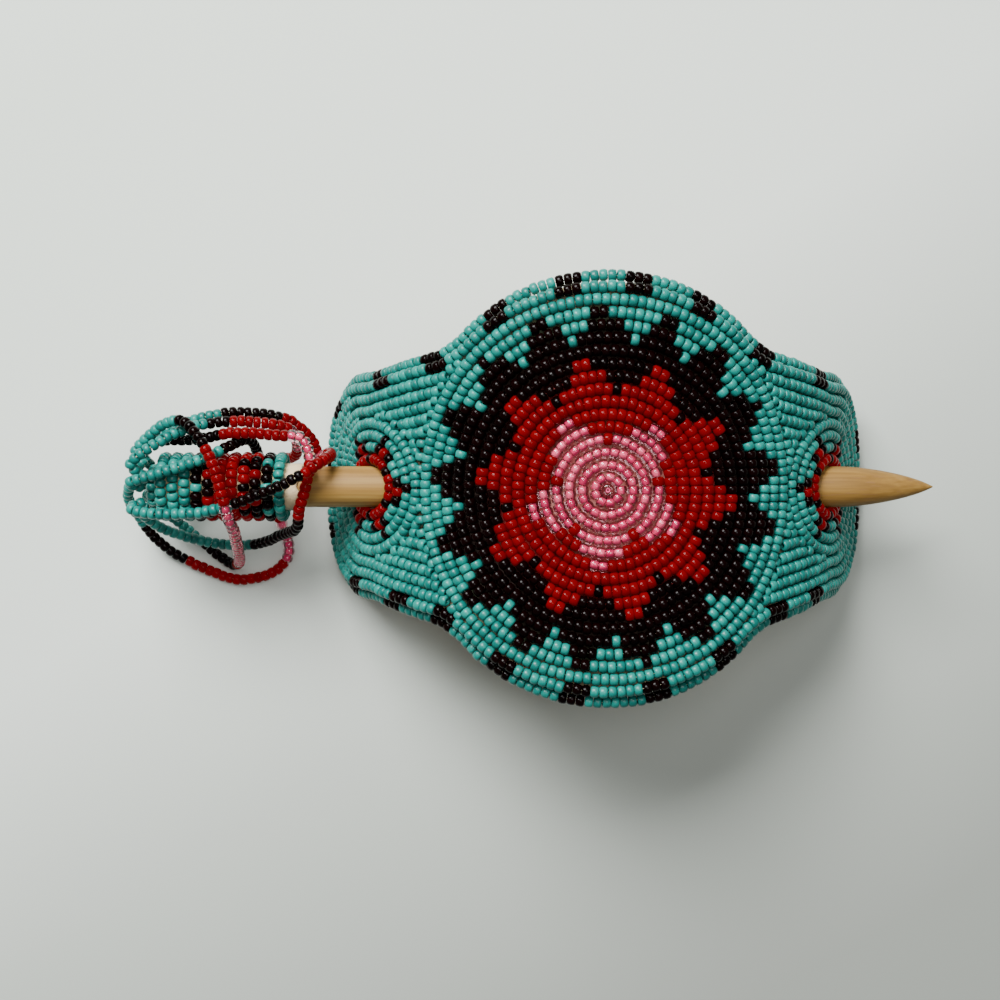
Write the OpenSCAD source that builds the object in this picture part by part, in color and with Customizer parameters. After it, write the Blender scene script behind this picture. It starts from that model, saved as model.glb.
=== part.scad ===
// Beaded stick barrette: an arched panel of hand-sewn seed beads on leather, with two holes for
// a wooden hair stick whose blunt end wears a beaded cap and a fringe of beaded loops.
// +X runs along the stick towards its point, +Y up the panel and +Z away from the table.
// The origin is on the table, halfway along the stick and its cap.

/* [Beads] */
// Spacing of the bead rows on the panel
row_pitch = 2.3; // [2.2:0.05:2.8]
// Thickness of a row of beads
bead_d = 2.16; // [1.8:0.02:2.18]

/* [Panel] */
// Number of bead rings round the centre bead
rosette_rows = 15; // [13:1:17]
// Number of bead rings round each stick hole
hole_rows = 4; // [3:1:4]
// Number of rows that wrap the outer side of those rings
wrap_rows = 2; // [1:1:3]
// Thickness of the leather backing
leather_t = 1.2; // [0.9:0.1:2]
// Thickness of the stiffener inside the panel
stiffener_t = 0.6; // [0.3:0.1:1.2]
// Thickness of the cloth that the beads are sewn to
cloth_t = 1; // [0.6:0.1:1.6]

/* [Stick] */
// Diameter of the stick
stick_d = 8; // [6.5:0.1:9.6]
// Length of the stick
stick_len = 150.5; // [140:0.5:185]
// Length of its pointed end
taper_len = 19; // [12:1:26]
// How far the point is from the middle of the panel
point_out = 65; // [60:1:78]
// Room between the stick and the edge of a hole
stick_gap = 0.35; // [0.2:0.05:0.6]

/* [Cap] */
// Thickness of the leather sleeve on the stick
sleeve_t = 0.55; // [0.3:0.05:1]
// Length of that sleeve
sleeve_len = 28; // [26:0.5:36]
// Number of bead rounds on the sleeve
cap_rounds = 11; // [8:1:11]

/* [Fringe] */
// Thickness of a strand of beads
strand_d = 2.2; // [1.6:0.05:2.2]

/* [Hidden] */
function numbered(name, k) = str(name, k < 10 ? "0" : "", k);
function rosette_name(k) = numbered("rosette_row_", k);
function hole_name(side, j) = str(side, "_hole_row_", j);
function wrap_name(side, j) = str(side, "_wrap_row_", j);
function cap_name(k) = numbered("cap_round_", k);
function loop_name(k) = str("fringe_loop_", k);
SIDES = ["left", "right"];

bead_r = bead_d / 2;
stick_r = stick_d / 2;
hole_r = stick_r + stick_gap;
tiny = 0.02;

// The stick lies along X with its point at point_x and its blunt end at blunt_x.
cap_end_t = bead_d + 0.14;
point_x = (stick_len + cap_end_t) / 2;
blunt_x = point_x - stick_len;
panel_x = point_x - point_out;

// The panel is one flat sheet bent over Y only, so a place on it is given as (s, t, h): s along
// the bend from the middle, t along Y, and h out of the face that the beads are sewn to.
// A hole cut along X through the steep wing is longer than wide.
hole_slope = 57;
hole_half_s = hole_r / sin(hole_slope);
function ring_s(j) = hole_half_s + (j - 0.5) * row_pitch;
function ring_t(j) = hole_r + (j - 0.5) * row_pitch;
// The last ring round a hole lies where the ring after the rosette's last would.
hole_at = (rosette_rows + 1) * row_pitch + ring_s(hole_rows);

// Slope of the sheet, in degrees, at shares of the way to a hole: a shallow dome, a shoulder,
// and wings that are flat and steep past the hole.
BENDS = [[0, 0], [0.32, 12], [0.48, 21], [0.64, 34], [0.8, 40], [0.88, 48], [1, 58], [1.12, 63], [9, 63]];
function slope(s) = lookup(abs(s) / hole_at, BENDS);

// Running sums of the slope give how far a place is from the middle, across and down.
sum_step = 0.5;
sum_to = hole_at * 2;
SUMS = [
    for (i = 0, x = 0, z = 0; i * sum_step < sum_to;
        x = x + sum_step * cos(slope((i + 0.5) * sum_step)),
        z = z - sum_step * sin(slope((i + 0.5) * sum_step)),
        i = i + 1)
    [i * sum_step, x, z]
];
ACROSS = [for (q = SUMS) [q[0], q[1]]];
DOWN = [for (q = SUMS) [q[0], q[2]]];
function across(s) = sign(s) * lookup(abs(s), ACROSS);
function down(s) = lookup(abs(s), DOWN);

// The edge has a row on the face and a row rolled over the rim, which is what stands on the table.
face_row = hole_rows + wrap_rows + 1;
rolled_row = face_row + 0.95;
rim_row = rolled_row - 0.58;
rolled_h = -0.6;
face_h = bead_r + 0.12;
foot_s = hole_at + ring_s(rolled_row);
crown_z = bead_r - down(foot_s) - rolled_h * cos(slope(foot_s));
// The stick rides on the beads outside the hole, a little above the middle of the hole's rings.
stick_lift = 0.4;
stick_z = crown_z + down(hole_at) + stick_lift;

function normal(s) = [sign(s) * sin(slope(s)), 0, cos(slope(s))];
function place(p, h) = [panel_x + across(p[0]), p[1], crown_z + down(p[0])] + h * normal(p[0]);

// A row of beads as a tube through places on the sheet, with a straight or rolled height h.
row_sides = 6;
function unit(v) = v / norm(v);
function swap(points) = [for (p = points) [-p[0], p[1]]];
module tube(line, out, r, sides, closed) {
    n = len(line);
    function at(i) = line[closed ? (i + n) % n : min(max(i, 0), n - 1)];
    function side_of(i) = unit(cross(at(i + 1) - at(i - 1), out[i]));
    function up_of(i) = unit(cross(side_of(i), at(i + 1) - at(i - 1)));
    rings = [for (i = [0:n - 1], k = [0:sides - 1])
        line[i] + r * (cos(360 * k / sides) * up_of(i) + sin(360 * k / sides) * side_of(i))];
    last = closed ? n - 1 : n - 2;
    walls = [for (i = [0:last], k = [0:sides - 1])
        let (a = i * sides, b = ((i + 1) % n) * sides, m = (k + 1) % sides)
        each [[a + k, a + m, b + m], [a + k, b + m, b + k]]];
    ends = closed ? [] : [[for (k = [sides - 1:-1:0]) k], [for (k = [0:sides - 1]) (n - 1) * sides + k]];
    polyhedron(rings, concat(walls, ends));
}
module bead_row(points, h, closed = true) {
    tube([for (p = points) place(p, h)], [for (p = points) normal(p[0])], bead_r, row_sides, closed);
}

// Rings of places, round the middle of the panel and round a hole.
function ring(rs, rt, middle, n) =
    [for (i = [0:n - 1]) [middle + rs * cos(360 * i / n), rt * sin(360 * i / n)]];

// The rows outside a hole's rings: legs that flare in towards the rosette, and a flattened end
// that gives the wing a level foot.
leg_flare = 0.19;
foot_half = 1.5;
corner_steps = 6;
function leg_t(j, s) = ring_t(j) + leg_flare * max(0, hole_at - s);
// Where the leg of row j meets the circle of radius r round the middle.
function leg_start(j, r) =
    let (p = ring_t(j) + leg_flare * hole_at, q = leg_flare, a = 1 + q * q)
    (p * q + sqrt(p * p * q * q - a * (p * p - r * r))) / a;
function leg(j, s0) = [for (i = [0:4]) let (s = s0 + (hole_at - s0) * i / 4) [s, leg_t(j, s)]];
function corner(j) =
    let (flat = foot_half * (j - hole_rows), c = ring_t(j) - flat)
    [for (i = [0:corner_steps]) let (a = 90 - 90 * i / corner_steps)
        [hole_at + ring_s(j) - c * (1 - cos(a)), flat + c * sin(a)]];
function half_wrap(j, s0) = concat(leg(j, s0), corner(j));
function reversed(list) = [for (i = [len(list) - 1:-1:0]) list[i]];
function mirrored(points) = [for (p = reversed(points)) [p[0], -p[1]]];
function wrap(j, s0) = concat(half_wrap(j, s0), mirrored(half_wrap(j, s0)));
// The whole outline at row j, clockwise from the top of the right wing; the corner where the wing
// leaves the rosette is eased by starting both a little away from it.
ease_s = 2.5;
ease_a = 4;
arc_steps = 14;
function rim_r(j) = (rosette_rows + 1 + j - face_row) * row_pitch;
function rim_arc(j) =
    let (s = leg_start(j, rim_r(j)), a = acos(s / rim_r(j)) + ease_a)
    [for (i = [0:arc_steps]) let (q = -a - (180 - 2 * a) * i / arc_steps) rim_r(j) * [cos(q), sin(q)]];
function half_outline(j) = concat(wrap(j, leg_start(j, rim_r(j)) + ease_s), rim_arc(j));
function outline(j) = concat(half_outline(j), [for (p = half_outline(j)) -p]);

// The sheet's layers, from the face down.
stiffener_top = -cloth_t - tiny;
leather_top = stiffener_top - stiffener_t - tiny;
leather_bottom = leather_top - leather_t;
wing_from = hole_at + ring_s(rim_row) - ring_t(rim_row) + foot_half * (rim_row - hole_rows);
band_step = hole_at / 20;
far = hole_at + ring_s(rim_row) + 10;
module layer(top, bottom) {
    steps = [for (s = [-far:band_step:far]) s];
    upper = [for (s = steps) place([s, 0], top)];
    lower = [for (s = reversed(steps)) place([s, 0], bottom)];
    plan = [for (p = outline(rim_row)) [panel_x + across(p[0]), p[1]]];
    difference() {
        rotate([90, 0, 0])
            linear_extrude(height = 4 * hole_at, center = true)
                polygon([for (p = concat(upper, lower)) [p[0], p[2]]]);
        translate([0, 0, -crown_z])
            linear_extrude(height = 3 * crown_z)
                difference() {
                    translate([panel_x, 0])
                        square([2 * across(wing_from), 5 * hole_at], center = true);
                    polygon(plan);
                }
        for (side = [0, 1])
            translate([panel_x, 0, 0])
                mirror([side, 0, 0])
                    translate([across(wing_from), 0, crown_z + down(wing_from)])
                        rotate([0, slope(wing_from), 0])
                            translate([-wing_from, 0, 2 * leather_bottom])
                                linear_extrude(height = -3 * leather_bottom)
                                    difference() {
                                        translate([wing_from, -2.5 * hole_at])
                                            square([far, 5 * hole_at]);
                                        polygon(outline(rim_row));
                                    }
        translate([panel_x, 0, stick_z])
            rotate([0, 90, 0])
                cylinder(r = hole_r, h = 3 * hole_at, center = true, $fn = 48);
    }
}
module leather_backing() {
    color("tan") layer(leather_top, leather_bottom);
}
module stiffener() {
    color("ivory") layer(stiffener_top, stiffener_top - stiffener_t);
}
module bead_cloth() {
    color("wheat") layer(0, -cloth_t);
}

// Colour of the rosette's row k, and of the other rows.
function rosette_colour(k) = k < 6 ? "pink" : k < 11 ? "firebrick" : k < 12 ? "black" : "turquoise";
module centre_bead() {
    color("pink")
        translate(place([0, 0], face_h))
            rotate_extrude($fn = 32)
                translate([bead_r * 0.62, 0])
                    circle(r = bead_r * 0.4, $fn = 24);
}
module rosette_row(k) {
    color(rosette_colour(k)) bead_row(ring(k * row_pitch, k * row_pitch, 0, 12 + 2 * k), face_h);
}
module hole_row(side, j) {
    places = ring(ring_s(j), ring_t(j), hole_at, 14 + 2 * j);
    color(j < 3 ? "firebrick" : "turquoise")
        bead_row(side == "left" ? reversed(swap(places)) : places, face_h);
}
module wrap_row(side, j) {
    row = hole_rows + j;
    places = wrap(row, leg_start(row, leg_end_r()));
    color("turquoise")
        bead_row(side == "left" ? reversed(swap(places)) : places, face_h, closed = false);
}

// Short rows beside the legs fill the corners between the rosette and a hole's rings. Row i is the
// line of a row i places in from the first leg, from the rosette to one row off the last ring.
fill_rows = 3;
function fill_stop(j) =
    let (rt = ring_t(hole_rows + 1), rs = ring_s(hole_rows + 1), a = 1 / (rs * rs) + pow(leg_flare / rt, 2),
        b = ring_t(j) * leg_flare / (rt * rt), c = pow(ring_t(j) / rt, 2) - 1)
    hole_at - (sqrt(b * b - a * c) - b) / a;
function leg_end_r() = (rosette_rows + 0.75) * row_pitch;
module fill_rows(side) {
    color("turquoise")
        for (i = [1:fill_rows], up = [-1, 1]) {
            j = hole_rows + 1 - i;
            from = leg_start(j, leg_end_r());
            to = fill_stop(j);
            if (to > from + bead_d) {
                places = [for (m = [0:3]) let (s = from + (to - from) * m / 3) [s, up * leg_t(j, s)]];
                bead_row(side == "left" ? reversed(swap(places)) : places, face_h, closed = false);
            }
        }
}
module face_edge_row() {
    color("turquoise") bead_row(outline(face_row), face_h);
}
module rolled_edge_row() {
    color("turquoise") bead_row(outline(rolled_row), rolled_h);
}

// Everything on the stick turns round its axis, so it is drawn upright and laid along X.
module on_stick(x) {
    translate([x, 0, stick_z])
        rotate([0, 90, 0])
            children();
}
taper_power = 1.8;
taper_steps = 10;
module stick() {
    taper = [for (i = [0:taper_steps]) let (u = i / taper_steps)
        [stick_r * pow(1 - pow(u, taper_power), 0.8), stick_len - taper_len * (1 - u)]];
    color("burlywood")
        on_stick(blunt_x)
            rotate_extrude($fn = 64)
                polygon(concat([[0, 0], [stick_r, 0]], taper));
}
glue_gap = 0.05;
sleeve_r = stick_r + sleeve_t;
round_r = sleeve_r + bead_r + 0.08;
round_pitch = bead_d + 0.1;
module cap_sleeve() {
    color("wheat")
        on_stick(blunt_x)
            difference() {
                cylinder(r = sleeve_r, h = sleeve_len, $fn = 64);
                translate([0, 0, -1])
                    cylinder(r = stick_r + glue_gap, h = sleeve_len + 2, $fn = 64);
            }
}
module bead_round(x, r) {
    on_stick(x)
        rotate_extrude($fn = 64)
            translate([r, 0])
                circle(r = bead_r, $fn = 32);
}
module cap_round(k) {
    color(k < 3 || k > 10 ? "turquoise" : k < 5 || k > 8 ? "black" : "firebrick")
        bead_round(blunt_x + bead_r + (k - 1) * round_pitch, round_r);
}
end_row_x = blunt_x - bead_r - tiny;
module cap_end_row_outer() {
    color("turquoise") bead_round(end_row_x, round_r - cap_end_t);
}
module cap_end_row_inner() {
    color("turquoise") bead_round(end_row_x, bead_r + tiny);
}

// The fringe: loops of threaded beads that leave the capped end, lie as they fell and come back.
ROUTES = [
    [[-76.6, 4, 24], [-78.5, 6.5, 24], [-75.5, 10, 25], [-71.5, 12.5, 26.5], [-68, 12.5, 28.5],
     [-64.5, 9, 31], [-62, 4.5, 32], [-60.5, -0.5, 32.5], [-59.5, -5, 31.5], [-59, -8.5, 27],
     [-60, -12.5, 17], [-61.5, -16, 7], [-65, -16, 2], [-74.5, -8, 3], [-79, -2.5, 11],
     [-76.6, -1.5, 17]],
    [[-77.2, 0, 21.5], [-79.5, 1.5, 19.5], [-82.5, -2, 13.5], [-81.5, -7, 7.5], [-77.5, -13, 3],
     [-70, -17.5, 1.2], [-62.5, -20, 1.2], [-55.5, -18.5, 1.2], [-52, -14, 1.2], [-54, -6, 3.5],
     [-56, 3, 10], [-57, 9, 19], [-60, 8, 24.5], [-64, 5.8, 27.6], [-72, 3, 29.3], [-78.5, 1, 28.5],
     [-76.6, 0, 26]],
    [[-76.6, 4.5, 21.5], [-78.5, 7, 21], [-76, 8.8, 21.5], [-67, 9.2, 22.5], [-59, 10.5, 25],
     [-51, 10, 25.5], [-46.5, 9.5, 26], [-44.5, 6, 27], [-45, 1, 27.5], [-46.5, -4, 26.8],
     [-47.5, -8, 23], [-51, -9.5, 17], [-57.5, -12, 10.5], [-66, -12, 8], [-75, -9, 13], [-79, -5, 18],
     [-76.6, -4, 19.7]],
    [[-76.6, 3.8, 18.8], [-78.5, 7, 17.5], [-73, 11, 19.5], [-66, 13.5, 20.5], [-59, 14.5, 19],
     [-51, 13.5, 16.5], [-46.5, 10, 12], [-44.5, 6, 10], [-42, 6.5, 16], [-41, 6, 23], [-42, 5, 29],
     [-46.5, 2, 31], [-54.5, -1.5, 30], [-64, -4.5, 28.5], [-74, -5, 28], [-79, -4, 26.5],
     [-76.6, -2.8, 25]],
    [[-76.6, 2.2, 25.4], [-78.5, 4.5, 27.5], [-75, 7.5, 28], [-69, 11, 25.5], [-63, 12.5, 22.8],
     [-55, 12.5, 21.8], [-49, 11, 19.5], [-49, 6.5, 11.5], [-53, 5, 5], [-62, 3, 4], [-72, 2, 7],
     [-79, 2, 13], [-76.6, 1.5, 17.3]]
];
strand_sides = 8;
function way(route, i) = unit(route[min(i + 1, len(route) - 1)] - route[max(i - 1, 0)]);
// A direction across the strand, carried along it without twist.
function carried(route) =
    [for (i = 0, u = cross(way(route, 0), [0, 0, 1]); i < len(route);
        u = let (w = way(route, min(i + 1, len(route) - 1))) u - (u * w) * w, i = i + 1) unit(u)];
module fringe_loop(k) {
    route = ROUTES[k - 1];
    color("firebrick") tube(route, carried(route), strand_d / 2, strand_sides, closed = false);
}

leather_backing();
stiffener();
bead_cloth();
centre_bead();
for (k = [1:rosette_rows])
    rosette_row(k);
for (side = SIDES) {
    for (j = [1:hole_rows])
        hole_row(side, j);
    for (j = [1:wrap_rows])
        wrap_row(side, j);
    fill_rows(side);
}
face_edge_row();
rolled_edge_row();
stick();
cap_sleeve();
for (k = [1:cap_rounds])
    cap_round(k);
cap_end_row_outer();
cap_end_row_inner();
for (k = [1:5])
    fringe_loop(k);
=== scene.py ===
"""Beaded stick barrette: an arched panel of sewn glass seed beads on leather, and the wooden stick
that holds it in gathered hair. Lengths are worked out in millimetres and made in metres."""
import math

import bpy
import numpy as np
from mathutils import Matrix, Vector
from mathutils.geometry import delaunay_2d_cdt


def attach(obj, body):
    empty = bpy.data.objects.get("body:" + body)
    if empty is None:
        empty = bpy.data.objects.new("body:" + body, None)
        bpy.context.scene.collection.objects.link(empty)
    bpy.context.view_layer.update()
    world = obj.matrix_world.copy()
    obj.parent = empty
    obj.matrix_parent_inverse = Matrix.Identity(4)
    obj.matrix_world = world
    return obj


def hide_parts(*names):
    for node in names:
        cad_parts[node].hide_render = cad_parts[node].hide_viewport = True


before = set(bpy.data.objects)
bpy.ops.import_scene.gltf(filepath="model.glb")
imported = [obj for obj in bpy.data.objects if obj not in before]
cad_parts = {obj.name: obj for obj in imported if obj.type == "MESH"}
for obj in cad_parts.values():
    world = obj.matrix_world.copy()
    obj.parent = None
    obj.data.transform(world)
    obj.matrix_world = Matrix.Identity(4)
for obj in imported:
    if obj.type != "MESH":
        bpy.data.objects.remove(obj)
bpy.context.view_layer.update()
MM = 0.001
chance = np.random.default_rng(7)

# Sizes of the beads, the panel, the stick and its cap.
ROW_PITCH = 2.3
BEAD_R = 1.08
BEAD_PITCH = 1.61
BEAD_LENGTH = 1.6
BEAD_BELLY = 1.15
ROSETTE_ROWS = 15
HOLE_ROWS = 4
WRAP_ROWS = 2
LEATHER_T = 1.2
STIFFENER_T = 0.6
CLOTH_T = 1.0
LAYER_GAP = 0.02
STICK_R = 4.0
STICK_LENGTH = 150.5
TAPER_LENGTH = 19.0
HOLE_CLEARANCE = 0.35
HOLE_R = STICK_R + HOLE_CLEARANCE
SLEEVE_T = 0.55
SLEEVE_R = STICK_R + SLEEVE_T
SLEEVE_LENGTH = 28.0
CAP_ROUNDS = 11
CAP_END_T = 2 * BEAD_R + 0.14
POINT_X = (STICK_LENGTH + CAP_END_T) / 2
BLUNT_X = POINT_X - STICK_LENGTH
POINT_REACH = 65
PANEL_X = POINT_X - POINT_REACH


# The panel is a flat sheet bent over Y only. A place on it is s along the bend from the middle and
# t along Y; a height h stands out of the face that the beads are sewn to.
HOLE_LEAN = math.radians(57)
HOLE_HALF_S = HOLE_R / math.sin(HOLE_LEAN)


def ring_s(j):
    return HOLE_HALF_S + (j - 0.5) * ROW_PITCH


def ring_t(j):
    return HOLE_R + (j - 0.5) * ROW_PITCH


HOLE_AT = (ROSETTE_ROWS + 1) * ROW_PITCH + ring_s(HOLE_ROWS)
BEND_AT = np.array([0, 0.32, 0.48, 0.64, 0.8, 0.88, 1, 1.12]) * HOLE_AT
BEND_SLOPE = np.radians([0, 12, 21, 34, 40, 48, 58, 63])


def slope(s):
    """The panel's slope at s, in radians."""
    return np.interp(np.abs(s), BEND_AT, BEND_SLOPE)


SUM_STEP = 0.5
SUM_S = np.arange(0, 2 * HOLE_AT, SUM_STEP)
SUM_ACROSS = np.append(0, np.cumsum(SUM_STEP * np.cos(slope(SUM_S + SUM_STEP / 2))))[:-1]
SUM_DOWN = np.append(0, np.cumsum(-SUM_STEP * np.sin(slope(SUM_S + SUM_STEP / 2))))[:-1]


def across(s):
    """How far s is from the middle along X."""
    return np.sign(s) * np.interp(np.abs(s), SUM_S, SUM_ACROSS)


def down(s):
    """The height of s against the crown's, which is never above 0."""
    return np.interp(np.abs(s), SUM_S, SUM_DOWN)


# The face's edge row, the rolled row and the sheets' rim, counted in rows from the stick's hole, and
# how far the beads stand off the cloth.
FACE_ROW = HOLE_ROWS + WRAP_ROWS + 1
ROLLED_ROW = FACE_ROW + 0.95
RIM_ROW = ROLLED_ROW - 0.58
ROLLED_H = -0.6
BEAD_LIFT = 0.12
FACE_H = BEAD_R + BEAD_LIFT
STICK_RISE = 0.4
FOOT_S = HOLE_AT + ring_s(ROLLED_ROW)
CROWN_Z = float(BEAD_R - down(FOOT_S) - ROLLED_H * math.cos(slope(FOOT_S)))
STICK_Z = float(CROWN_Z + down(HOLE_AT) + STICK_RISE)


def normal(s):
    """The way out of the sheet's face at s."""
    s = np.asarray(s, float)
    return np.stack([np.sign(s) * np.sin(slope(s)), 0 * s, np.cos(slope(s))], -1)


def place(st, h):
    """Where places on the sheet lie, h out of its face."""
    s, t = np.asarray(st, float).T
    middle = np.stack([PANEL_X + across(s), t, CROWN_Z + down(s)], -1)
    return middle + np.reshape(h, (-1, 1)) * normal(s)


def round_angles(count):
    """Angles evenly round a whole turn."""
    return np.linspace(0, 2 * math.pi, count + 1)[:-1]


# Lines of the rows, as places on the sheet.
def ring(rs, rt, middle=0.0):
    a = round_angles(240)
    return np.stack([middle + rs * np.cos(a), rt * np.sin(a)], -1)


# The wings: how their edges flare towards the rosette, the half flat that each row adds at the end,
# and how far the corners where they leave the rosette are eased.
LEG_FLARE = 0.19
FOOT_HALF = 1.5
EASE_S = 2.5
EASE_A = math.radians(4)


def leg_t(j, s):
    return ring_t(j) + LEG_FLARE * np.maximum(0, HOLE_AT - s)


def leg_start(j, r):
    """Where the leg of row j meets the circle of radius r round the middle."""
    p = ring_t(j) + LEG_FLARE * HOLE_AT
    a = 1 + LEG_FLARE ** 2
    return (p * LEG_FLARE + math.sqrt((p * LEG_FLARE) ** 2 - a * (p * p - r * r))) / a


def half_wrap(j, s0):
    s = np.linspace(s0, HOLE_AT, 12)
    leg = np.stack([s, leg_t(j, s)], -1)
    flat = FOOT_HALF * (j - HOLE_ROWS)
    c = ring_t(j) - flat
    a = np.radians(np.linspace(90, 0, 16))
    corner = np.stack([HOLE_AT + ring_s(j) - c * (1 - np.cos(a)), flat + c * np.sin(a)], -1)
    return np.vstack([leg, corner[1:]])


def wrap(j, s0):
    half = half_wrap(j, s0)
    return np.vstack([half, half[::-1] * [1, -1]])


def outline(j):
    """The whole outline at row j, with the corners where the wings leave the rosette eased."""
    r = (ROSETTE_ROWS + 1 + j - FACE_ROW) * ROW_PITCH
    start = leg_start(j, r)
    a = math.acos(start / r) + EASE_A
    q = -np.linspace(a, math.pi - a, 40)
    arc = r * np.stack([np.cos(q), np.sin(q)], -1)
    half = np.vstack([wrap(j, start + EASE_S), arc])
    return eased(np.vstack([half, -half]))


def eased(line, rounds=3):
    """A closed line with its corners cut."""
    for _ in range(rounds):
        after = np.roll(line, -1, 0)
        line = np.stack([0.75 * line + 0.25 * after, 0.25 * line + 0.75 * after], 1).reshape(-1, 2)
    return line


# Short rows on each side of a wing, and the radius where a wing's long and short rows start.
FILL_ROWS = 3
LEG_END_R = (ROSETTE_ROWS + 0.75) * ROW_PITCH


def fill_stop(j):
    """Where the leg of row j comes one row off the last ring round the hole."""
    rt, rs = ring_t(HOLE_ROWS + 1), ring_s(HOLE_ROWS + 1)
    a = 1 / rs ** 2 + (LEG_FLARE / rt) ** 2
    b = ring_t(j) * LEG_FLARE / rt ** 2
    c = (ring_t(j) / rt) ** 2 - 1
    return HOLE_AT - (math.sqrt(b * b - a * c) - b) / a


# The fringe: where each loop of beads runs, and the beads on it in order, counted from its start.
ROUTES = [
    [[-76.6, 4, 24], [-78.5, 6.5, 24], [-75.5, 10, 25], [-71.5, 12.5, 26.5], [-68, 12.5, 28.5],
     [-64.5, 9, 31], [-62, 4.5, 32], [-60.5, -0.5, 32.5], [-59.5, -5, 31.5], [-59, -8.5, 27],
     [-60, -12.5, 17], [-61.5, -16, 7], [-65, -16, 2], [-74.5, -8, 3], [-79, -2.5, 11],
     [-76.6, -1.5, 17]],
    [[-77.2, 0, 21.5], [-79.5, 1.5, 19.5], [-82.5, -2, 13.5], [-81.5, -7, 7.5], [-77.5, -13, 3],
     [-70, -17.5, 1.2], [-62.5, -20, 1.2], [-55.5, -18.5, 1.2], [-52, -14, 1.2], [-54, -6, 3.5],
     [-56, 3, 10], [-57, 9, 19], [-60, 8, 24.5], [-64, 5.8, 27.6], [-72, 3, 29.3], [-78.5, 1, 28.5],
     [-76.6, 0, 26]],
    [[-76.6, 4.5, 21.5], [-78.5, 7, 21], [-76, 8.8, 21.5], [-67, 9.2, 22.5], [-59, 10.5, 25],
     [-51, 10, 25.5], [-46.5, 9.5, 26], [-44.5, 6, 27], [-45, 1, 27.5], [-46.5, -4, 26.8],
     [-47.5, -8, 23], [-51, -9.5, 17], [-57.5, -12, 10.5], [-66, -12, 8], [-75, -9, 13], [-79, -5, 18],
     [-76.6, -4, 19.7]],
    [[-76.6, 3.8, 18.8], [-78.5, 7, 17.5], [-73, 11, 19.5], [-66, 13.5, 20.5], [-59, 14.5, 19],
     [-51, 13.5, 16.5], [-46.5, 10, 12], [-44.5, 6, 10], [-42, 6.5, 16], [-41, 6, 23], [-42, 5, 29],
     [-46.5, 2, 31], [-54.5, -1.5, 30], [-64, -4.5, 28.5], [-74, -5, 28], [-79, -4, 26.5],
     [-76.6, -2.8, 25]],
    [[-76.6, 2.2, 25.4], [-78.5, 4.5, 27.5], [-75, 7.5, 28], [-69, 11, 25.5], [-63, 12.5, 22.8],
     [-55, 12.5, 21.8], [-49, 11, 19.5], [-49, 6.5, 11.5], [-53, 5, 5], [-62, 3, 4], [-72, 2, 7],
     [-79, 2, 13], [-76.6, 1.5, 17.3]],
]
LOOP_BEADS = [
    [("turquoise", 10), ("dark", 6), ("ruby", 8), ("pink", 20), ("ruby", 1), ("dark", 7)],
    [("turquoise", 14), ("dark", 8), ("ruby", 15), ("pink", 6), ("ruby", 11), ("dark", 11)],
    [("turquoise", 2), ("dark", 12), ("ruby", 9), ("pink", 5), ("ruby", 8), ("dark", 14)],
    [("turquoise", 15), ("dark", 8), ("ruby", 8), ("pink", 4), ("ruby", 13), ("dark", 10)],
    [("turquoise", 14), ("dark", 3), ("ruby", 8), ("pink", 5), ("ruby", 9), ("dark", 8)],
]


# Camera: nearly straight above, tipped and turned by small angles in radians.
CAMERA_TIP = 0.04
CAMERA_TURN = 0.004
CAMERA_FROM_ROSETTE = Vector((-19.539, -1.759, 271.788))
LENS = 54
SENSOR = 36


def add_camera():
    turned = Matrix.Rotation(CAMERA_TURN, 3, "Y") @ Matrix.Rotation(CAMERA_TIP, 3, "X")
    rosette_top = Vector((PANEL_X, 0, CROWN_Z + FACE_H))
    data = bpy.data.cameras.new("camera")
    data.lens = LENS
    data.sensor_width = SENSOR
    camera = bpy.data.objects.new("camera", data)
    camera.rotation_mode = "QUATERNION"
    camera.rotation_quaternion = turned.transposed().to_quaternion()
    camera.location = (rosette_top + turned.transposed() @ CAMERA_FROM_ROSETTE) * MM
    bpy.context.scene.collection.objects.link(camera)
    bpy.context.scene.camera = camera


add_camera()


class Wire:
    """A socket of a finish that can be used in sums."""

    def __init__(self, finish, socket):
        self.finish = finish
        self.socket = socket

    def maths(self, operation, *terms):
        sockets = dict(enumerate(terms))
        return self.finish.add("ShaderNodeMath", {"operation": operation}, sockets)["Value"]

    def __add__(self, other):
        return self.maths("ADD", self, other)

    def __radd__(self, other):
        return self.maths("ADD", other, self)

    def __sub__(self, other):
        return self.maths("SUBTRACT", self, other)

    def __rsub__(self, other):
        return self.maths("SUBTRACT", other, self)

    def __mul__(self, other):
        return self.maths("MULTIPLY", self, other)

    def __rmul__(self, other):
        return self.maths("MULTIPLY", other, self)

    def __pow__(self, other):
        return self.maths("POWER", self, other)


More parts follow.
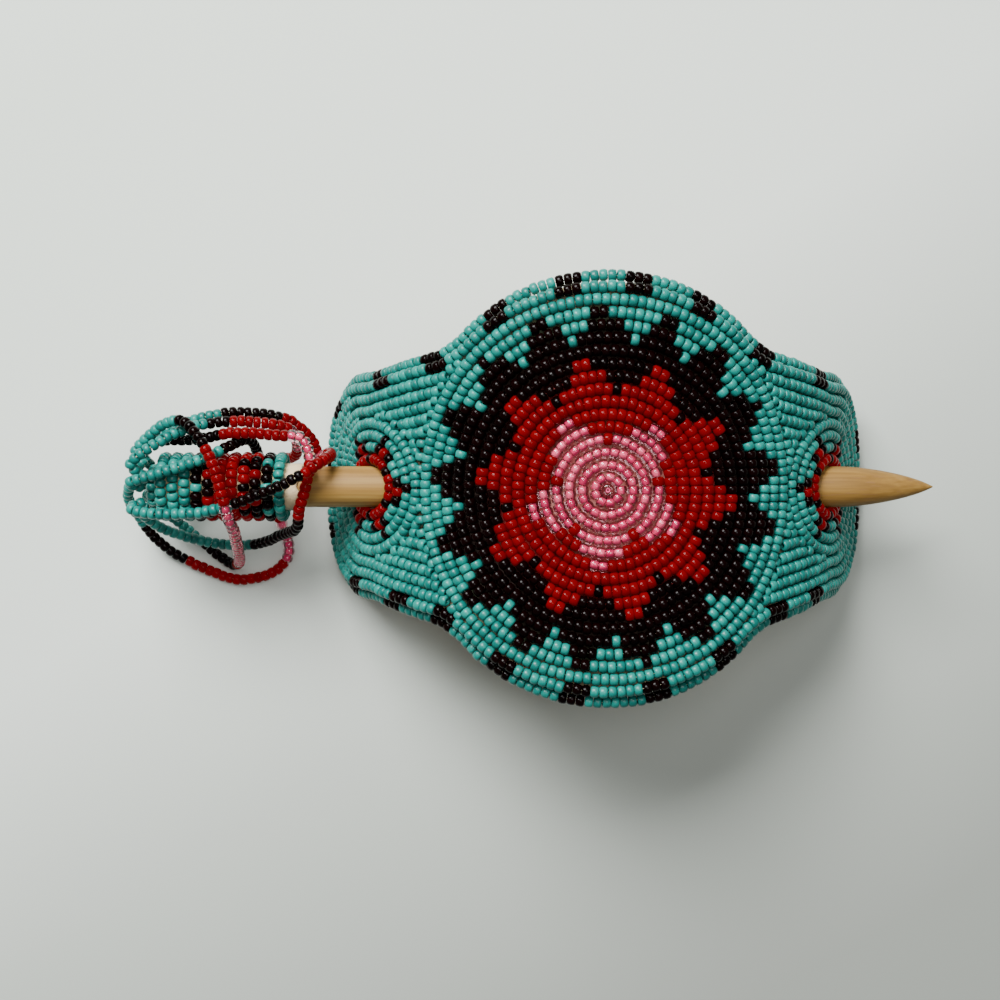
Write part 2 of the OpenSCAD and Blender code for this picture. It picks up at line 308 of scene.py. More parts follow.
class Finish:
    """A material whose colour and relief come from nodes."""

    def __init__(self, name):
        self.material = bpy.data.materials.new(name)
        self.material.use_nodes = True
        self.tree = self.material.node_tree
        self.tree.nodes.clear()

    def add(self, kind, settings=None, sockets=None):
        """Adds a node with its settings, then its sockets' values or links. Returns its outputs."""
        node = self.tree.nodes.new(kind)
        for key, value in (settings or {}).items():
            if key == "stops":
                self.set_stops(node.color_ramp, value)
            else:
                setattr(node, key, value)
        for key, value in (sockets or {}).items():
            if isinstance(value, Wire):
                self.tree.links.new(value.socket, node.inputs[key])
            else:
                node.inputs[key].default_value = value
        return {s.name: Wire(self, s) for s in node.outputs if s.enabled}

    @staticmethod
    def set_stops(ramp, stops):
        while len(ramp.elements) < len(stops):
            ramp.elements.new(1.0)
        for element, (at, colour) in zip(ramp.elements, stops):
            element.position = at
            element.color = (*colour, 1)

    def spot(self):
        return self.add("ShaderNodeTexCoord")["Object"]

    def stretched(self, scale):
        sockets = {0: self.spot(), 1: scale}
        return self.add("ShaderNodeVectorMath", {"operation": "MULTIPLY"}, sockets)["Vector"]

    def noise(self, scale, detail=3.0, spot=None, distortion=0.0):
        sockets = {"Vector": spot or self.spot(), "Scale": scale, "Detail": detail,
                   "Distortion": distortion}
        node = self.add("ShaderNodeTexNoise", None, sockets)
        return node.get("Fac") or node["Factor"]

    def shade(self):
        """The share from 0 to 1 that sets each bead or stitch apart from its neighbours."""
        return self.add("ShaderNodeAttribute", {"attribute_name": "shade"})["Fac"]

    def ramp(self, factor, stops):
        return self.add("ShaderNodeValToRGB", {"stops": stops}, {"Fac": factor})["Color"]

    def mix(self, factor, a, b, blend="MIX"):
        settings = {"data_type": "RGBA", "blend_type": blend}
        a, b = (v if isinstance(v, Wire) else (*v, 1) for v in (a, b))
        return self.add("ShaderNodeMix", settings, {0: factor, 6: a, 7: b})["Result"]

    def bump(self, height, strength, depth_mm):
        sockets = {"Height": height, "Strength": strength, "Distance": depth_mm * MM}
        return self.add("ShaderNodeBump", None, sockets)["Normal"]

    def shader(self, **sockets):
        named = {key.replace("_", " "): value for key, value in sockets.items()}
        return self.add("ShaderNodeBsdfPrincipled", None, named)["BSDF"]

    def done(self, shader):
        self.add("ShaderNodeOutputMaterial", None, {"Surface": shader})
        return self.material


def opaque_glass(name, deep, light, roughness, coat, shine):
    """Solid coloured glass, each bead a little apart in tone."""
    finish = Finish(name)
    shade = finish.shade()
    cloudy = finish.noise(900, 2)
    tone = finish.ramp(shade * 0.7 + cloudy * 0.3, [(0.15, deep), (0.85, light)])
    return finish.done(finish.shader(
        Base_Color=tone,
        Roughness=roughness + 0.1 * cloudy,
        Coat_Weight=coat,
        Coat_Roughness=0.04,
        Specular_IOR_Level=shine,
        Normal=finish.bump(finish.noise(2600, 1), 0.15, 0.02)))


def ruby_glass():
    """Deep red glass, made opaque: its glow stands for the light that passes through a real bead."""
    finish = Finish("ruby glass")
    shade = finish.shade()
    cloudy = finish.noise(700, 2)
    tone = finish.ramp(shade * 0.6 + cloudy * 0.4,
                       [(0.1, (0.07, 0.0, 0.0006)), (0.9, (0.10, 0.0, 0.001))])
    return finish.done(finish.shader(
        Base_Color=tone,
        Roughness=0.08 + 0.04 * cloudy,
        Specular_IOR_Level=0.07,
        Emission_Color=tone,
        Emission_Strength=0.85))


def pink_lining():
    """The coloured hole of a clear bead, with a little painted glow for the light that reaches it through
    the glass.
    """
    finish = Finish("pink lining")
    shade = finish.shade()
    patchy = finish.noise(1500, 3)
    tone = finish.ramp(shade * 0.6 + patchy * 0.4,
                       [(0.15, (0.42, 0.015, 0.10)), (0.5, (0.66, 0.05, 0.17)),
                        (0.85, (0.90, 0.20, 0.33))])
    # Painted glow: the lining's emission stands in for light through the clear glass.
    return finish.done(finish.shader(Base_Color=tone, Roughness=0.35 + 0.2 * patchy,
                                     Emission_Color=tone, Emission_Strength=0.22))


def clear_glass():
    """Clear glass, tinted a little pink, that lets lamps through to the lining under it."""
    finish = Finish("clear glass")
    glass = finish.shader(Base_Color=(0.78, 0.46, 0.50, 1), Roughness=0.02, IOR=1.5,
                          Transmission_Weight=1.0)
    through = finish.add("ShaderNodeBsdfTransparent", None, {"Color": (0.72, 0.52, 0.56, 1)})["BSDF"]
    path = finish.add("ShaderNodeLightPath")
    passes = path["Is Shadow Ray"].maths("MAXIMUM", path["Is Shadow Ray"], path["Is Diffuse Ray"])
    either = finish.add("ShaderNodeMixShader", None, {0: passes, 1: glass, 2: through})
    return finish.done(either["Shader"])


# Painted light and shade that the beads leave on the cloth and thread under them, by rings out from the
# middle: coloured light through the pink and red glass, and painted shade under the dark and turquoise
# rings.
PAINTED_LIGHT_RINGS = 16
BEAD_LIGHT_AND_SHADE = [
    (4.6, (1.0, 0.72, 0.86)), (5.8, (0.48, 0.004, 0.006)), (8.6, (0.48, 0.004, 0.006)),
    (9.8, (0.08, 0.04, 0.035)), (12.4, (0.08, 0.05, 0.045)), (14.2, (0.32, 0.55, 0.48)),
    (15.4, (0.75, 0.85, 0.80)),
]


def painted_bead_light_and_shade(finish, tone):
    """Cloth and thread get painted light and shade by rings: the colour of light through the rosette's
    beads, and painted shade under its dark beads.
    """
    spot = finish.add("ShaderNodeSeparateXYZ", None, {"Vector": finish.spot()})
    off_x = spot["X"] - PANEL_X * MM
    rings = (off_x * off_x + spot["Y"] * spot["Y"]) ** 0.5 * (1 / (ROW_PITCH * MM * PAINTED_LIGHT_RINGS))
    # Painted light and shade: a colour set by distance from the rosette's middle multiplies the cloth's
    # own.
    painted_light = finish.ramp(rings, [(at / PAINTED_LIGHT_RINGS, colour) for at, colour in BEAD_LIGHT_AND_SHADE])
    return finish.mix(1.0, tone, painted_light, "MULTIPLY")


def thread_finish():
    """Cream sewing thread with a soft twist, with painted light and shade where glass lies over it."""
    finish = Finish("cream thread")
    twist = finish.noise(1800, 2)
    tone = finish.ramp(finish.shade() * 0.5 + twist * 0.5,
                       [(0.2, (0.46, 0.38, 0.25)), (0.8, (0.75, 0.68, 0.52))])
    tone = painted_bead_light_and_shade(finish, tone)
    return finish.done(finish.shader(Base_Color=tone, Roughness=0.8, Sheen_Weight=0.3,
                                     Normal=finish.bump(twist, 0.6, 0.05)))


def cloth_finish():
    """Fluffy cloth, with painted light and shade where glass lies over it."""
    finish = Finish("bead cloth")
    fluff = finish.noise(1300, 4)
    tone = finish.ramp(fluff, [(0.3, (0.22, 0.16, 0.09)), (0.7, (0.42, 0.34, 0.22))])
    tone = painted_bead_light_and_shade(finish, tone)
    return finish.done(finish.shader(Base_Color=tone, Roughness=0.95, Sheen_Weight=0.4,
                                     Normal=finish.bump(fluff, 0.8, 0.15)))


def leather_finish(name, dark, light, grain_mm=1.1):
    """Tanned hide: creased grain, cloudy dye and a nap that is worn smoother in places."""
    finish = Finish(name)
    cloudy = finish.noise(45, 4)
    worn = finish.noise(110, 3, distortion=0.6)
    creases = finish.add("ShaderNodeTexVoronoi", {"feature": "DISTANCE_TO_EDGE"},
                         {"Vector": finish.spot(), "Scale": 1000 / grain_mm})["Distance"]
    nap = finish.noise(2400, 3)
    tone = finish.mix(cloudy ** 1.4, dark, light)
    tone = finish.mix(0.35 * nap, tone, (0.86, 0.74, 0.56), "OVERLAY")
    relief = creases.maths("MINIMUM", creases * 6, 1.0) * 0.7 + nap * 0.3
    return finish.done(finish.shader(Base_Color=tone, Roughness=0.62 + 0.25 * worn, Sheen_Weight=0.25,
                                     Normal=finish.bump(relief, 0.5, 0.12)))


def stiffener_finish():
    """Pale board with its fibres along the panel."""
    finish = Finish("stiffener")
    fibres = finish.noise(800, 4, finish.stretched((0.2, 1, 1)))
    tone = finish.ramp(fibres, [(0.3, (0.55, 0.52, 0.45)), (0.7, (0.72, 0.69, 0.60))])
    return finish.done(finish.shader(Base_Color=tone, Roughness=0.85,
                                     Normal=finish.bump(fibres, 0.3, 0.05)))


def wood_finish():
    """Pale straight-grained dowel: soft growth bands, short dark pores and a sanded skin."""
    finish = Finish("pale wood")
    bands = finish.noise(260, 3, finish.stretched((0.05, 1, 1)), 0.5)
    fine = finish.noise(1500, 3, finish.stretched((0.035, 1, 1)))
    pores = finish.noise(2600, 1, finish.stretched((0.05, 1, 1)))
    cloudy = finish.noise(60, 2, finish.stretched((0.4, 1, 1)))
    tone = finish.ramp(bands * 0.5 + fine * 0.4 + cloudy * 0.1,
                       [(0.3, (0.12, 0.058, 0.010)), (0.48, (0.22, 0.118, 0.025)),
                        (0.66, (0.32, 0.195, 0.05))])
    specks = pores.maths("GREATER_THAN", pores, 0.66)
    tone = finish.mix(0.45 * specks, tone, (0.20, 0.10, 0.04))
    return finish.done(finish.shader(
        Base_Color=tone,
        Roughness=0.48 + 0.18 * fine,
        Specular_IOR_Level=0.28,
        Normal=finish.bump(fine * 0.6 + pores * 0.4, 0.25, 0.05)))


def floor_finish():
    """A pale table with painted shade: its colour darkens towards the corner away from the lamps."""
    finish = Finish("pale table")
    spot = finish.add("ShaderNodeSeparateXYZ", None, {"Vector": finish.spot()})
    # Painted shade: the colour darkens towards the bottom right, away from the lamps.
    painted_falloff = 0.46 + 2.2 * spot["X"] - 3.5 * spot["Y"] + 0.08 * finish.noise(6, 2)
    tone = finish.ramp(painted_falloff, [(0.0, (0.55, 0.61, 0.54)), (0.4, (0.65, 0.70, 0.64)),
                              (0.62, (0.47, 0.51, 0.46)), (1.0, (0.28, 0.30, 0.27))])
    return finish.done(finish.shader(Base_Color=tone, Roughness=0.7))


TURQUOISE = opaque_glass("turquoise glass", deep=(0.0015, 0.105, 0.088), light=(0.009, 0.20, 0.165),
                         roughness=0.28, coat=0.05, shine=0.3)
DARK = opaque_glass("dark glass", deep=(0.0012, 0.0001, 0.0001), light=(0.0035, 0.0003, 0.0003),
                    roughness=0.06, coat=0.0, shine=0.08)
RUBY = ruby_glass()
LINING = pink_lining()
CLEAR = clear_glass()
THREAD = thread_finish()
CLOTH = cloth_finish()
HIDE = leather_finish("tanned hide", (0.27, 0.15, 0.07), (0.50, 0.33, 0.18))
PALE_HIDE = leather_finish("pale hide", (0.42, 0.32, 0.18), (0.70, 0.59, 0.40), grain_mm=0.8)
STIFF = stiffener_finish()
WOOD = wood_finish()


def add_piece(name, points, faces, finishes, body, which=None, shades=None):
    """Makes a smooth mesh piece from points in millimetres, and rides it on a body."""
    mesh = bpy.data.meshes.new(name)
    mesh.from_pydata((np.asarray(points) * MM).tolist(), [], [list(map(int, f)) for f in faces])
    for finish in finishes:
        mesh.materials.append(finish)
    mesh.polygons.foreach_set("use_smooth", np.ones(len(mesh.polygons), bool))
    if which is not None:
        mesh.polygons.foreach_set("material_index", np.asarray(which, np.int32))
    if shades is not None:
        layer = mesh.attributes.new("shade", "FLOAT", "POINT")
        layer.data.foreach_set("value", np.asarray(shades, np.float32))
    mesh.update()
    piece = bpy.data.objects.new(name, mesh)
    bpy.context.scene.collection.objects.link(piece)
    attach(piece, body)
    return piece


def split_sharp_edges(piece, degrees):
    sharpen = piece.modifiers.new("crisp edges", "EDGE_SPLIT")
    sharpen.split_angle = math.radians(degrees)


# How round the wall of a bead is: an ellipse at 1, and nearly a square at 0.
BEAD_ROUNDNESS = 0.86
BEAD_HOLE = 0.34


def turned_bead(length, hole, belly, sides, steps):
    """A bead turned round its hole: a rounded wall between the hole and the belly."""
    turn = round_angles(steps)
    middle, half = (belly + hole) / 2, (belly - hole) / 2
    x = length / 2 * np.sign(np.sin(turn)) * np.abs(np.sin(turn)) ** BEAD_ROUNDNESS
    r = middle + half * np.sign(np.cos(turn)) * np.abs(np.cos(turn)) ** BEAD_ROUNDNESS
    a = round_angles(sides)
    points = np.stack([np.tile(x, sides), np.outer(np.cos(a), r).ravel(),
                       np.outer(np.sin(a), r).ravel()], -1)
    i, k = np.meshgrid(np.arange(sides), np.arange(steps), indexing="ij")
    i2, k2 = (i + 1) % sides, (k + 1) % steps
    faces = np.stack([i * steps + k, i * steps + k2, i2 * steps + k2, i2 * steps + k], -1).reshape(-1, 4)
    return points, faces


SOLID_BEAD = turned_bead(BEAD_LENGTH, BEAD_HOLE, BEAD_BELLY, 14, 10)
CLEAR_BEAD = turned_bead(BEAD_LENGTH, 0.36, BEAD_BELLY * 1.06, 16, 12)
RUBY_BEAD = turned_bead(BEAD_LENGTH * 1.05, BEAD_HOLE, BEAD_BELLY * 1.03, 14, 10)
LINING_TUBE = turned_bead(BEAD_LENGTH * 0.68, 0.2, 0.5, 12, 8)
PARTS_OF = {
    "turquoise": [(SOLID_BEAD, TURQUOISE)],
    "dark": [(SOLID_BEAD, DARK)],
    "ruby": [(RUBY_BEAD, RUBY)],
    "pink": [(CLEAR_BEAD, CLEAR), (LINING_TUBE, LINING)],
}


def unit(v):
    return v / np.linalg.norm(v, axis=-1, keepdims=True)


BEAD_STRETCH = (0.93, 1.0)
BEAD_GIRTH = (0.96, 1.0)


def string_beads(name, spots, ways, ups, colours, body, wander=0.05, lean=0.06, size=1.0,
                 pitch=BEAD_PITCH):
    """One mesh of beads at spots, with their holes along ways and no two quite alike."""
    n = len(spots)
    ways = unit(ways)
    ups = unit(ups - (ups * ways).sum(-1, keepdims=True) * ways)
    sides = np.cross(ups, ways)
    spots = spots + sides * chance.normal(0, wander, (n, 1)) + ups * chance.uniform(-wander, 0, (n, 1))
    ways = unit(ways + ups * chance.normal(0, lean, (n, 1)) + sides * chance.normal(0, lean, (n, 1)))
    ups = unit(ups - (ups * ways).sum(-1, keepdims=True) * ways)
    sides = np.cross(ups, ways)
    stretch = chance.uniform(*BEAD_STRETCH, n) * min(1.0, pitch / BEAD_PITCH)
    girth = chance.uniform(*BEAD_GIRTH, n) * size
    tone = chance.uniform(0, 1, n)
    points, faces, which, shades, finishes = [], [], [], [], []
    count = 0
    for i in range(n):
        for (form, quads), finish in PARTS_OF[colours[i]]:
            if finish not in finishes:
                finishes.append(finish)
            scaled = form * [stretch[i], girth[i], girth[i]]
            points.append(spots[i] + scaled @ np.stack([ways[i], ups[i], sides[i]]))
            faces.append(quads + count)
            which.append(np.full(len(quads), finishes.index(finish)))
            shades.append(np.full(len(form), tone[i]))
            count += len(form)
    return add_piece(name, np.vstack(points), np.vstack(faces), finishes, body,
                     np.concatenate(which), np.concatenate(shades))


def tube_mesh(line, r, sides=6, closed=False):
    """Points and faces of a round tube along a line, its ends closed by single faces."""
    line = np.asarray(line, float)
    if closed:
        way = unit(np.roll(line, -1, 0) - np.roll(line, 1, 0))
    else:
        way = unit(np.gradient(line, axis=0))
    across_way = np.cross(way[0], [0.2, 0.1, 1.0])
    rings = []
    a = round_angles(sides)
    radii = np.broadcast_to(r, len(line))
    for p, w, radius in zip(line, way, radii):
        across_way = unit(across_way - (across_way @ w) * w)
        other = np.cross(w, across_way)
        rings.append(p + radius * (np.outer(np.cos(a), across_way) + np.outer(np.sin(a), other)))
    n = len(line)
    faces = [[i * sides + k, i * sides + (k + 1) % sides, (i + 1) % n * sides + (k + 1) % sides,
              (i + 1) % n * sides + k] for i in range(n if closed else n - 1) for k in range(sides)]
    if not closed:
        faces += [list(range(sides))[::-1], list(range((n - 1) * sides, n * sides))]
    return np.vstack(rings), faces


def joined(meshes):
    """Several (points, faces) as one, with a share from 0 to 1 for each of them."""
    points, faces, shades, count = [], [], [], 0
    for part, quads in meshes:
        points.append(part)
        faces += [[v + count for v in f] for f in quads]
        shades.append(np.full(len(part), chance.uniform()))
        count += len(part)
    return np.vstack(points), faces, np.concatenate(shades)


def smooth_route(route, steps=8):
    """A curve through the route's points."""
    p = np.asarray(route, float)
    p = np.vstack([2 * p[0] - p[1], p, 2 * p[-1] - p[-2]])
    t = np.linspace(0, 1, steps + 1)[:-1, None]
    spans = [0.5 * (2 * b + (c - a) * t + (2 * a - 5 * b + 4 * c - d) * t ** 2
                    + (3 * b - a - 3 * c + d) * t ** 3)
             for a, b, c, d in zip(p[:-3], p[1:-2], p[2:-1], p[3:])]
    return np.vstack([*spans, p[-2:-1]])


def at_lengths(line, wanted):
    """Points at lengths along a line."""
    gone = np.append(0, np.cumsum(np.linalg.norm(np.diff(line, axis=0), axis=1)))
    return np.stack([np.interp(wanted, gone, line[:, c]) for c in range(line.shape[1])], -1)


def line_length(line):
    return float(np.linalg.norm(np.diff(line, axis=0), axis=1).sum())


# The fringe: five loops of beads on a thread, each out of the capped end and back into it.
FRINGE_PITCH = 1.5
FRINGE_THREAD_R = 0.17


def fringe_loop(k):
    line = smooth_route(ROUTES[k - 1])
    length = line_length(line)
    n = round(length / FRINGE_PITCH)
    pitch = length / n
    spots = at_lengths(line, (np.arange(n) + 0.5) * pitch)
    ahead = at_lengths(line, (np.arange(n) + 0.6) * pitch)
    behind = at_lengths(line, (np.arange(n) + 0.4) * pitch)
    colours = [colour for colour, count in LOOP_BEADS[k - 1] for _ in range(count)][:n]
    colours += ["turquoise"] * (n - len(colours))
    ups = np.tile([0.05, 0.1, 1.0], (n, 1))
    beads = string_beads(f"fringe_beads_{k}", spots, ahead - behind, ups, colours, "stick",
                         wander=0.04, lean=0.07, pitch=pitch)
    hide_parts(f"fringe_loop_{k}")
    points, faces = tube_mesh(line[::2], FRINGE_THREAD_R)
    thread = add_piece(f"fringe_thread_{k}", points, faces, [THREAD], "stick",
                       shades=np.full(len(points), 0.5))


for loop in range(1, 6):
    fringe_loop(loop)


def inside(points, loop):
    """Which points lie inside a closed line."""
    x, y = points.T
    x1, y1 = loop.T
    x2, y2 = np.roll(loop, -1, 0).T
    spans = (y1 > y[:, None]) != (y2 > y[:, None])
    with np.errstate(divide="ignore", invalid="ignore"):
        cut = (x2 - x1) * (y[:, None] - y1) / (y2 - y1) + x1
    return (spans & (x[:, None] < cut)).sum(1) % 2 == 1


# The sewn rows of the panel.
def row_spots(line, h, closed=True, count=None):
    """Spots, ways and ups of the beads of a row, and each one's share of the way along it."""
    if closed:
        line = np.vstack([line, line[:1]])
    fine = at_lengths(line, np.linspace(0, line_length(line), 1200))
    solid = place(fine, h)
    gone = np.append(0, np.cumsum(np.linalg.norm(np.diff(solid, axis=0), axis=1)))
    n = count or max(1, round(gone[-1] / BEAD_PITCH))
    share = (np.arange(n) + (0 if closed else 0.5)) / n

    def seat(at):
        at = np.mod(at, 1.0) if closed else np.clip(at, 0, 1)
        return np.stack([np.interp(at * gone[-1], gone, fine[:, c]) for c in (0, 1)], -1)

    half_step = 0.3 / n
    here = seat(share)
    ways = place(seat(share + half_step), h) - place(seat(share - half_step), h)
    return place(here, h), ways, normal(here[:, 0]), share, here, gone[-1] / n


thread_lines = []
sewn_places = []
sewn_ways = []


def sewn_row(name, node, line, h, colour_of, closed=True, count=None):
    """A row of beads that replaces its plain CAD row; colour_of takes a bead's share and place."""
    spots, ways, ups, share, here, pitch = row_spots(line, h, closed, count)
    colours = [colour_of(f, st) for f, st in zip(share, here)]
    beads = string_beads(name, spots, ways, ups, colours, "panel", pitch=pitch)
    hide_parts(node)
    thread_lines.append((spots, closed))
    sewn_places.append(here)
    sewn_ways.append(ways)


def off_point(angle, points):
    """How far an angle is from the nearest of the points, in degrees."""
    return min(abs((angle - p + 180) % 360 - 180) for p in points)


RED_GAPS = [11, 89, 166, 232, 298]
PINK_TIPS = [47, 126, 198, 263, 329]
DARK_POINTS = [11 + 36 * i for i in range(10)]
TURQUOISE_POINTS = [18 + 360 / 17 * i for i in range(17)]
# For each row: beads in a point, the colour of the points, where they are, and the colour between.
ROSETTE_PATTERN = {
    4: (1, "ruby", RED_GAPS, "pink"),
    5: (4.6, "pink", PINK_TIPS, "ruby"),
    6: (2, "pink", PINK_TIPS, "ruby"),
    8: (1, "dark", DARK_POINTS, "ruby"),
    9: (4, "dark", DARK_POINTS, "ruby"),
    10: (7, "dark", DARK_POINTS, "ruby"),
    12: (1, "turquoise", TURQUOISE_POINTS, "dark"),
    13: (3, "turquoise", TURQUOISE_POINTS, "dark"),
    14: (5.6, "turquoise", TURQUOISE_POINTS, "dark"),
}


def rosette_ground(k):
    """The colour of ring k apart from its points."""
    return "pink" if k < 5 else "ruby" if k < 11 else "dark" if k < 12 else "turquoise"


BEADS_PER_RING = 8.97


def rosette_row(k):
    """Ring k of the rosette, with its points in their own colour."""
    count = round(BEADS_PER_RING * k)
    width, point, points, between = ROSETTE_PATTERN.get(k, (0, "", [0], rosette_ground(k)))

    def colour_of(share, st):
        return point if off_point(share * 360, points) < width * 180 / count else between

    sewn_row(f"rosette_beads_{k:02d}", f"rosette_row_{k:02d}", ring(k * ROW_PITCH, k * ROW_PITCH),
             FACE_H, colour_of, True, count)


def turquoise_only(share, st):
    return "turquoise"


def star_colour(j):
    """Colours of ring j round a hole, whose six red points are edged in dark."""
    def colour_of(share, st):
        off = off_point(share * 360, [60 * i for i in range(6)])
        if j == 1:
            return "ruby" if off < 20 else "dark"
        if j == 2:
            return "ruby" if off < 10 else "dark" if off < 24 else "turquoise"
        return "dark" if j == 3 and off < 4.5 else "turquoise"
    return colour_of


# Beads in each ring round a hole; with None the ring's length sets the number.
STAR_COUNTS = {1: 24, 2: 30, 3: 42, 4: None}


def wing(side, sign):
    """The rings round one hole, the long rows round the wing, and the short rows between."""
    for j in range(1, HOLE_ROWS + 1):
        line = ring(ring_s(j), ring_t(j), HOLE_AT)
        if j == 2:
            line = np.roll(line, -len(line) // 60, 0)
        sewn_row(f"{side}_hole_beads_{j}", f"{side}_hole_row_{j}", line * [sign, 1], FACE_H,
                 star_colour(j), True, STAR_COUNTS[j])
    for j in range(1, WRAP_ROWS + 1):
        line = wrap(HOLE_ROWS + j, leg_start(HOLE_ROWS + j, LEG_END_R)) * [sign, 1]
        sewn_row(f"{side}_wrap_beads_{j}", f"{side}_wrap_row_{j}", line, FACE_H, turquoise_only,
                 False)
    spots, ways, ups = [], [], []
    for i in range(1, FILL_ROWS + 1):
        j = HOLE_ROWS + 1 - i
        start, stop = leg_start(j, LEG_END_R), fill_stop(j)
        if stop <= start + 2 * BEAD_R:
            continue
        for up in (-1, 1):
            s = np.linspace(start, stop, 8)
            line = np.stack([s, up * leg_t(j, s)], -1) * [sign, 1]
            found = row_spots(line, FACE_H, False)
            spots.append(found[0])
            ways.append(found[1])
            ups.append(found[2])
            thread_lines.append((found[0], False))
            sewn_places.append(found[4])
            sewn_ways.append(found[1])
    spots = np.vstack(spots)
    beads = string_beads(f"{side}_fill_beads", spots, np.vstack(ways), np.vstack(ups),
                         ["turquoise"] * len(spots), "panel")
    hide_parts(f"{side}_fill_rows")


# Where the dark groups of the two edge rows sit, as degrees round the panel's middle.
EDGE_MARKS = [7.5, 24, 39.5, 62.5, 81.5, 101, 122.5, 144.5, 156.5, 167, 179,
              188, 199, 207, 218, 239, 261, 284, 306, 325.5, 335, 354]
EDGE_GROUP_LENGTH = 4.7


def edge_row(name, node, j, h):
    """A turquoise row round the whole panel, with a dark group at each mark."""
    line = outline(j)
    closed = np.vstack([line, line[:1]])
    turn = np.degrees(np.arctan2(closed[:, 1], closed[:, 0]))
    marks = [closed[np.abs((turn - mark + 180) % 360 - 180).argmin()] for mark in EDGE_MARKS]

    def colour_of(share, st):
        off = min(math.hypot(*(st - mark)) for mark in marks)
        return "dark" if off < EDGE_GROUP_LENGTH / 2 else "turquoise"

    sewn_row(name, node, line, h, colour_of)


for row in range(1, ROSETTE_ROWS + 1):
    rosette_row(row)
wing("left", -1)
wing("right", 1)
edge_row("face_edge_beads", "face_edge_row", FACE_ROW, FACE_H)
edge_row("rolled_edge_beads", "rolled_edge_row", ROLLED_ROW, ROLLED_H)


# The least room for a wedge bead, the room of one at its full size, how deep it sits, and the part
# of a wing that is searched for places.
WEDGE_ROOM = 1.46
BEAD_ROOM = 1.8
WEDGE_SINK = 0.12
SEARCH_STEP = 0.3
WEDGES_FROM = 22
WEDGES_HALF = 33
NEIGHBOURS_FROM = 18


def add_wedge_beads(side, sign):
    """Beads in the wedges that the rows leave between them, packed from the wedges' edges inwards."""
    s, t = np.meshgrid(np.arange(WEDGES_FROM, HOLE_AT + ring_s(FACE_ROW), SEARCH_STEP),
                       np.arange(-WEDGES_HALF, WEDGES_HALF, SEARCH_STEP))
    free = np.stack([s.ravel(), t.ravel()], -1)
    hole = ring(ring_s(1), ring_t(1), HOLE_AT)
    free = free[inside(free, outline(FACE_ROW)) & ~inside(free, hole)] * [sign, 1]
    taken = np.vstack(sewn_places)
    ways = np.vstack(sewn_ways)
    near = sign * taken[:, 0] > NEIGHBOURS_FROM
    taken, ways = taken[near], ways[near]
    room = np.linalg.norm(free[:, None] - taken[None], axis=2).min(1)
    chosen, sizes = [], []
    while room.max() > WEDGE_ROOM:
        fits = np.where(room > BEAD_ROOM)[0]
        best = fits[room[fits].argmin()] if len(fits) else room.argmax()
        chosen.append(free[best])
        sizes.append(min(1.0, room[best] / BEAD_ROOM))
        room = np.minimum(room, np.linalg.norm(free - free[best], axis=1))
    chosen = np.array(chosen)
    nearest = np.linalg.norm(chosen[:, None] - taken[None], axis=2).argmin(1)
    beads = string_beads(f"{side}_wedge_beads", place(chosen, FACE_H - WEDGE_SINK), ways[nearest],
                         normal(chosen[:, 0]), ["turquoise"] * len(chosen), "panel", wander=0,
                         size=np.array(sizes))


add_wedge_beads("left", -1)
add_wedge_beads("right", 1)
middle_bead = string_beads("centre_bead_of_glass", place([[0, 0]], FACE_H), np.array([[0.0, 0, 1]]),
                           np.array([[0.0, 1, 0]]), ["pink"], "panel", wander=0, lean=0)
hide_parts("centre_bead")


# The thread that runs through each row.
ROW_THREAD_R = 0.1


def add_row_threads():
    tubes = [tube_mesh(spots, ROW_THREAD_R, 5, closed) for spots, closed in thread_lines
             if len(spots) > 2]
    points, faces, shades = joined(tubes)
    threads = add_piece("row_threads", points, faces, [THREAD], "panel", shades=shades)


add_row_threads()


# The sheets that the beads are sewn to: cloth, stiffener and leather, bent to the panel's arch.
def hole_loop(sign, h):
    """Where a sheet at height h is cut by the stick's hole, which runs along X."""
    loop = ring(HOLE_HALF_S, HOLE_R, HOLE_AT)[::4] * [sign, 1]
    for _ in range(6):
        solid = place(loop, h)
        off = solid[:, 2] - STICK_Z
        width = np.sqrt(np.maximum(1e-6, HOLE_R ** 2 - np.minimum(loop[:, 1] ** 2, HOLE_R ** 2)))
        goal = np.sign(loop[:, 0] * sign - HOLE_AT) * -width
        step = (off - goal) / np.sin(slope(loop[:, 0]))
        loop = loop + np.stack([sign * np.clip(step, -1, 1), 0 * step], -1)
    return loop


GRID_HALF_S = 72
GRID_HALF_T = 42
HOLE_MARGIN = 1.15


